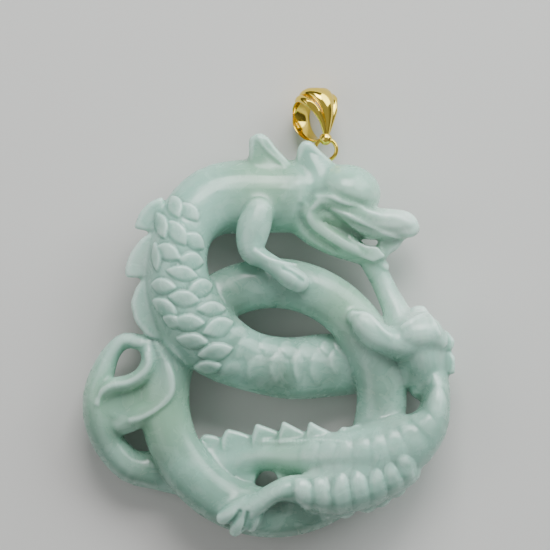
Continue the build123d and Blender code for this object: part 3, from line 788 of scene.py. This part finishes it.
def wire_ring(middle, radius, wire):
    """A closed ring of round wire that lies flat round its middle, as a new mesh."""
    mesh = bmesh.new()
    section = bmesh.ops.create_circle(mesh, segments=20, radius=wire / 2,
                                      matrix=Matrix.Translation((radius, 0, 0))
                                      @ Matrix.Rotation(math.pi / 2, 4, "X"))
    bmesh.ops.spin(mesh, geom=section["verts"] + mesh.edges[:], cent=(0, 0, 0), axis=(0, 0, 1),
                   angle=2 * math.pi, steps=64, use_merge=True)
    bmesh.ops.remove_doubles(mesh, verts=mesh.verts, dist=wire / 500)
    bmesh.ops.recalc_face_normals(mesh, faces=mesh.faces)
    bmesh.ops.translate(mesh, verts=mesh.verts, vec=middle)
    return mesh


def open_tunnel(owner, wire, to_owner, layered=False):
    """A tunnel round the jump ring, so that it hangs free.

    to_owner leads from the frame to the mesh, and a layered mesh has parts that overlap.
    """
    low, high = (to_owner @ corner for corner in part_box("jump_ring"))
    mesh = wire_ring((low + high) / 2, (high.x - low.x) / 2 - wire / 2, wire + 2 * TUNNEL_ROOM)
    cutter = new_object("tunnel", new_data(mesh, "tunnel"))
    cut = owner.modifiers.new("tunnel", "BOOLEAN")
    cut.use_self = layered
    cut.operation = "DIFFERENCE"
    cut.object = cutter
    settle(owner, owner.data.name)
    bpy.data.objects.remove(cutter)


def kept_inside(data, low, high):
    """Points a hair outside the piece's own box, set on it."""
    spots = np.empty(3 * len(data.vertices))
    data.vertices.foreach_get("co", spots)
    spots = np.clip(spots.reshape(-1, 3), np.array(low), np.array(high))
    data.vertices.foreach_set("co", spots.ravel())
    data.update()


def show(name, data, replaced, material):
    """A finished piece: an object at the origin that rides on the body and replaces its CAD node."""
    if not data.polygons:
        raise RuntimeError(f"{name} came out empty")
    piece = new_object(name, data)
    data.materials.clear()
    data.materials.append(material)
    data.shade_smooth()
    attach(piece, "root")
    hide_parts(replaced)


def add_node(tree, kind, inputs=(), **settings):
    """A node with its settings, and its inputs given as values or as other nodes' outputs."""
    node = tree.nodes.new(kind)
    for name, value in settings.items():
        setattr(node, name, value)
    for key, value in dict(inputs).items():
        if isinstance(value, bpy.types.NodeSocket):
            tree.links.new(value, node.inputs[key])
        else:
            node.inputs[key].default_value = value
    return node


def new_material(name):
    """An empty node material and its tree."""
    material = bpy.data.materials.new(name)
    material.use_nodes = True
    material.node_tree.nodes.clear()
    return material, material.node_tree


def jade_material(settings):
    """Pale jadeite, carved and waxed: light sinks in, so edges glow and the polish is soft; shade in hollows
    and on the ring, and highlights on edges and lit places, are also painted into its colour.
    """
    material, tree = new_material("jade_waxed_polish")
    spot = add_node(tree, "ShaderNodeTexCoord").outputs["Object"]
    # Clouds in the stone about 6 mm across, drawn out a little, with finer ones in them
    clouds = add_node(tree, "ShaderNodeTexNoise", {"Vector": spot, "Scale": 1 / 0.006, "Detail": 4.0,
                                                   "Roughness": 0.55, "Distortion": 0.4})
    amount = add_node(tree, "ShaderNodeMapRange", {"Value": clouds.outputs[0], "From Min": 0.38,
                                                   "From Max": 0.68, "To Min": -0.15,
                                                   "To Max": 0.28}).outputs[0]
    # Painted shade: this attribute darkens the plain ring and some clouds where shade falls, along with the
    # stone's own green clouds
    green = add_node(tree, "ShaderNodeAttribute", attribute_name="green").outputs["Fac"]
    amount = add_node(tree, "ShaderNodeMath", {0: amount, 1: green}, operation="ADD",
                      use_clamp=True).outputs[0]
    colour = add_node(tree, "ShaderNodeMix", {"Factor": amount, 6: (*settings.pale, 1),
                                              7: (*settings.green, 1)}, data_type="RGBA").outputs[2]
    # Milky flecks of 2 to 3 mm, with painted highlights added at the places that catch the most light, and
    # clouds of a warmer green
    flecks = add_node(tree, "ShaderNodeTexNoise", {"Vector": spot, "Scale": 1 / 0.0026, "Detail": 3.0,
                                                   "Roughness": 0.6, "Distortion": 0.6})
    milk_and_highlight = add_node(tree, "ShaderNodeMapRange", {
        "Value": flecks.outputs[0], "From Min": 0.52, "From Max": 0.72, "To Max": 0.22},
        interpolation_type="SMOOTHSTEP").outputs[0]
    # Painted highlight: places where the carving catches the most light are painted paler on top of the
    # milky flecks
    places = add_node(tree, "ShaderNodeAttribute", attribute_name="milk_and_highlight").outputs["Fac"]
    milk_and_highlight = add_node(tree, "ShaderNodeMath", {0: milk_and_highlight, 1: places}, operation="ADD",
                    use_clamp=True).outputs[0]
    moss = add_node(tree, "ShaderNodeAttribute", attribute_name="moss").outputs["Fac"]
    for step, tint in ((milk_and_highlight, "#d3e6dd"), (moss, "#97c3a6")):
        colour = add_node(tree, "ShaderNodeMix", {"Factor": step, 6: colour, 7: (*linear(tint), 1)},
                          data_type="RGBA").outputs[2]
    # Painted shade and highlight: hollows and creases are painted darker as shade, and edges and raised
    # places paler as highlight: 10 is a tenth of a millimetre
    relief = add_node(tree, "ShaderNodeAttribute", attribute_name="relief").outputs["Fac"]
    for start, end, share, tint in ((-1, -16, 0.4, "#66897a"), (2, 15, 0.55, "#d2eae0")):
        step = add_node(tree, "ShaderNodeMapRange", {
            "Value": relief, "From Min": start, "From Max": end, "To Max": share},
            interpolation_type="SMOOTHSTEP").outputs[0]
        colour = add_node(tree, "ShaderNodeMix", {"Factor": step, 6: colour, 7: (*linear(tint), 1)},
                          data_type="RGBA").outputs[2]
    # Hand polish: low waves about 1.8 mm across that bend the shine, and duller and glossier places
    waves = add_node(tree, "ShaderNodeTexNoise", {"Vector": spot, "Scale": 1 / 0.0018, "Detail": 2.0})
    bump = add_node(tree, "ShaderNodeBump", {"Height": waves.outputs[0], "Strength": 0.15,
                                             "Distance": 0.0001})
    wax = add_node(tree, "ShaderNodeMapRange", {"Value": flecks.outputs[0], "From Min": 0.35,
                                                "From Max": 0.65, "To Min": 0.2,
                                                "To Max": 0.33}).outputs[0]
    shader = add_node(tree, "ShaderNodeBsdfPrincipled", {
        "Base Color": colour, "Roughness": wax, "Normal": bump.outputs[0], "IOR": 1.66,
        "Subsurface Weight": 0.8, "Subsurface Radius": (0.8, 1.0, 0.9), "Subsurface Scale": 0.0016})
    add_node(tree, "ShaderNodeOutputMaterial", {"Surface": shader.outputs[0]})
    return material


def gold_material():
    """Yellow gold, cast and mirror polished: it shows the studio light and dark in its own colour."""
    material, tree = new_material("gold_mirror_polish")
    spot = add_node(tree, "ShaderNodeTexCoord").outputs["Object"]
    # Faint handling marks, about 0.3 mm apart, that only break up the shine
    marks = add_node(tree, "ShaderNodeTexNoise", {"Vector": spot, "Scale": 1 / 0.0003, "Detail": 3.0})
    rough = add_node(tree, "ShaderNodeMapRange", {"Value": marks.outputs[0], "To Min": 0.08, "To Max": 0.15})
    shader = add_node(tree, "ShaderNodeBsdfPrincipled", {
        "Base Color": (*linear("#fbdb5c"), 1), "Metallic": 1.0, "Roughness": rough.outputs[0]})
    add_node(tree, "ShaderNodeOutputMaterial", {"Surface": shader.outputs[0]})
    return material


def bail_frame():
    """Where the bail's foot is, and its ways towards the leaf, to its top and along its chain hole."""
    low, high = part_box("jump_ring")
    foot = (low + high) / 2
    foot.y = high.y - (high.z - low.z) / 2
    leaf = Vector((0, 0, 1))
    leaf.rotate(Matrix.Rotation(math.radians(BAIL_ROLL), 3, "Y"))
    top = Vector((0, 1, 0))
    for way in (leaf, top):
        way.rotate(Matrix.Rotation(math.radians(-BAIL_DROOP), 3, "X"))
        way.rotate(Matrix.Rotation(math.radians(BAIL_LEAN), 3, "Z"))
    return foot * MILLIMETRES, leaf, top, leaf.cross(top)


def gold_strip(mesh, rows, side, width, gauge, frame_of_bail):
    """A strap or a puffed lobe of the bail."""
    foot, leaf, top, along = frame_of_bail
    table = smooth_rows(rows, steps=3)
    spots = []
    for u, v, reach, *_ in table:
        spots.append(foot + leaf * (u * BAIL_DEPTH / 100) + top * (v * BAIL_HEIGHT / 100)
                     + along * (side * reach * width / 100))
    halves = [(row[3] * width / 200, row[4] * gauge / 200) for row in table]
    sections(mesh, spots, [along] * len(spots), halves, sides=16)


class PENDANT_OT_carving(bpy.types.Operator):
    """Carve the jade: the plain ring, the dragon and all its scales, fins and folds, in one stone"""

    bl_idname = "pendant.carving"
    bl_label = "Carve the Jade"

    def execute(self, context):
        settings = context.scene.pendant_carving
        block = new_object("jade_block", new_data(carved_forms(settings), "jade"))
        joined = block.modifiers.new("joined", "REMESH")
        joined.mode = "VOXEL"
        joined.voxel_size = mm(settings.grain) * 1
        joined.use_smooth_shade = True
        settle(block, "jade")
        work_surface(block, settings)
        open_tunnel(block, mm(context.scene.pendant_gold.wire), table_to_frame().inverted())
        count = sum(len(face.vertices) - 2 for face in block.data.polygons)
        if count > JADE_TRIANGLES:
            thinned = block.modifiers.new("thinned", "DECIMATE")
            thinned.ratio = JADE_TRIANGLES / count
            settle(block, "jade")
        block.data.transform(table_to_frame())
        kept_inside(block.data, *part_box("jade_carving"))
        show("jade", block.data, "jade_carving", jade_material(settings))
        bpy.data.objects.remove(block)
        return {"FINISHED"}


class PENDANT_OT_gold(bpy.types.Operator):
    """Make the gold: the closed jump ring and the bail with its strap and puffed leaf of three lobes"""

    bl_idname = "pendant.gold"
    bl_label = "Make the Jump Ring and Bail"

    def execute(self, context):
        settings = context.scene.pendant_gold
        gold = gold_material()
        low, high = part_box("jump_ring")
        mesh = wire_ring((low + high) / 2, (high.x - low.x - settings.wire) / 2, settings.wire)
        show("jump_ring_gold", new_data(mesh, "jump_ring_gold"), "jump_ring", gold)

        gauge = mm(settings.gauge)
        seat = bail_frame()
        mesh = bmesh.new()
        gold_strip(mesh, STRAP, 0, STRAP_WIDTH, gauge, seat)
        gold_strip(mesh, MIDDLE_LOBE, 0, LEAF_WIDTH, gauge, seat)
        for side in (1, -1):
            gold_strip(mesh, SIDE_LOBE, side, LEAF_WIDTH, gauge, seat)
        ball(mesh, seat[0], [FOOT_DIAMETER / 2] * 3)
        bmesh.ops.recalc_face_normals(mesh, faces=mesh.faces)
        blank = new_object("bail_blank", new_data(mesh, "bail_gold"))
        finer = blank.modifiers.new("finer", "SUBSURF")
        finer.levels = finer.render_levels = 2
        open_tunnel(blank, mm(settings.wire), Matrix.Scale(MILLIMETRES, 4), layered=True)
        blank.data.transform(Matrix.Scale(1 / MILLIMETRES, 4))
        kept_inside(blank.data, *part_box("bail"))
        show("bail_gold", blank.data, "bail", gold)
        bpy.data.objects.remove(blank)
        return {"FINISHED"}


class PENDANT_OT_stage(bpy.types.Operator):
    """Set the stage: a pale floor, soft studio light and the camera straight above the carved face"""

    bl_idname = "pendant.stage"
    bl_label = "Set the Stage"

    def execute(self, context):
        scene = context.scene
        settings = scene.pendant_studio
        mesh = bmesh.new()
        bmesh.ops.create_grid(mesh, x_segments=4, y_segments=4, size=0.6)
        floor = new_object("floor", new_data(mesh, "floor"))
        paper, tree = new_material("pale_matt_paper")
        shader = add_node(tree, "ShaderNodeBsdfPrincipled", {"Base Color": (*linear("#d8d6d3"), 1),
                                                             "Roughness": 0.9})
        add_node(tree, "ShaderNodeOutputMaterial", {"Surface": shader.outputs[0]})
        floor.data.materials.append(paper)

        middle = table_to_frame() @ place(*CAMERA_AIM)
        view = bpy.data.cameras.new("camera")
        camera = new_object("camera", view)
        view.sensor_width = 36
        view.lens = view.sensor_width * CAMERA_DISTANCE / CAMERA_SQUARE
        view.clip_start = 0.05
        camera.location = middle + Vector((0, 0, CAMERA_DISTANCE))
        scene.camera = camera

        # Each light's place and side in metres, its power in watts and its colour
        white, cool = (1, 1, 1), (0.91, 1, 1)
        for name, spot, size, power, colour in (
                ("top light", (0.05, 0.42, 0.36), 0.30, settings.key_strength * 0.88, white),
                ("side light", (-0.40, 0.02, 0.40), 0.35, settings.key_strength / 6, white),
                ("edge light", (0.40, 0.40, 0.24), 0.50, settings.key_strength * 1.3, cool)):
            lamp = bpy.data.lights.new(name, "AREA")
            lamp.shape = "SQUARE"
            lamp.size = size
            lamp.energy = power
            lamp.color = colour
            light = new_object(name, lamp)
            light.location = spot
            light.rotation_euler = (middle - Vector(spot)).to_track_quat("-Z", "Y").to_euler()
        world = bpy.data.worlds.new("even light")
        world.use_nodes = True
        world.node_tree.nodes.clear()
        # The room is dim at the level of the table and bright above, which gives the gold its darks
        way = add_node(world.node_tree, "ShaderNodeTexCoord").outputs["Generated"]
        height = add_node(world.node_tree, "ShaderNodeSeparateXYZ", {"Vector": way}).outputs["Z"]
        level = add_node(world.node_tree, "ShaderNodeMapRange", {
            "Value": height, "From Min": 0.0, "From Max": 0.8, "To Min": settings.fill_strength * 0.25,
            "To Max": settings.fill_strength * 1.3}, interpolation_type="SMOOTHSTEP").outputs[0]
        sky = add_node(world.node_tree, "ShaderNodeBackground", {"Color": (*linear("#f2f5f6"), 1),
                                                                "Strength": level})
        add_node(world.node_tree, "ShaderNodeOutputWorld", {"Surface": sky.outputs[0]})
        scene.world = world
        return {"FINISHED"}


class PENDANT_PT_panel(bpy.types.Panel):
    """Lists the pendant's pieces and stage"""

    bl_label = "Jade Dragon Pendant"
    bl_idname = "PENDANT_PT_panel"
    bl_space_type = "VIEW_3D"
    bl_region_type = "UI"
    bl_category = "Pendant"

    def draw(self, context):
        for group in ("pendant_carving", "pendant_gold", "pendant_studio"):
            settings = getattr(context.scene, group)
            for name in settings.__annotations__:
                self.layout.prop(settings, name)
        for operator in (PENDANT_OT_carving, PENDANT_OT_gold, PENDANT_OT_stage):
            self.layout.operator(operator.bl_idname)


CLASSES = (CarvingSettings, GoldSettings, StudioSettings, PENDANT_OT_carving, PENDANT_OT_gold,
           PENDANT_OT_stage, PENDANT_PT_panel)


def register():
    """Make the settings, operators and panel known."""
    for each in CLASSES:
        bpy.utils.register_class(each)
    bpy.types.Scene.pendant_carving = bpy.props.PointerProperty(type=CarvingSettings)
    bpy.types.Scene.pendant_gold = bpy.props.PointerProperty(type=GoldSettings)
    bpy.types.Scene.pendant_studio = bpy.props.PointerProperty(type=StudioSettings)


def unregister():
    """Take the settings, operators and panel away again."""
    for name in ("pendant_carving", "pendant_gold", "pendant_studio"):
        delattr(bpy.types.Scene, name)
    for each in reversed(CLASSES):
        bpy.utils.unregister_class(each)


def main():
    """Build every piece and the stage."""
    register()
    bpy.ops.pendant.carving()
    bpy.ops.pendant.gold()
    bpy.ops.pendant.stage()
    bpy.context.view_layer.update()


if __name__ == "__main__":
    main()
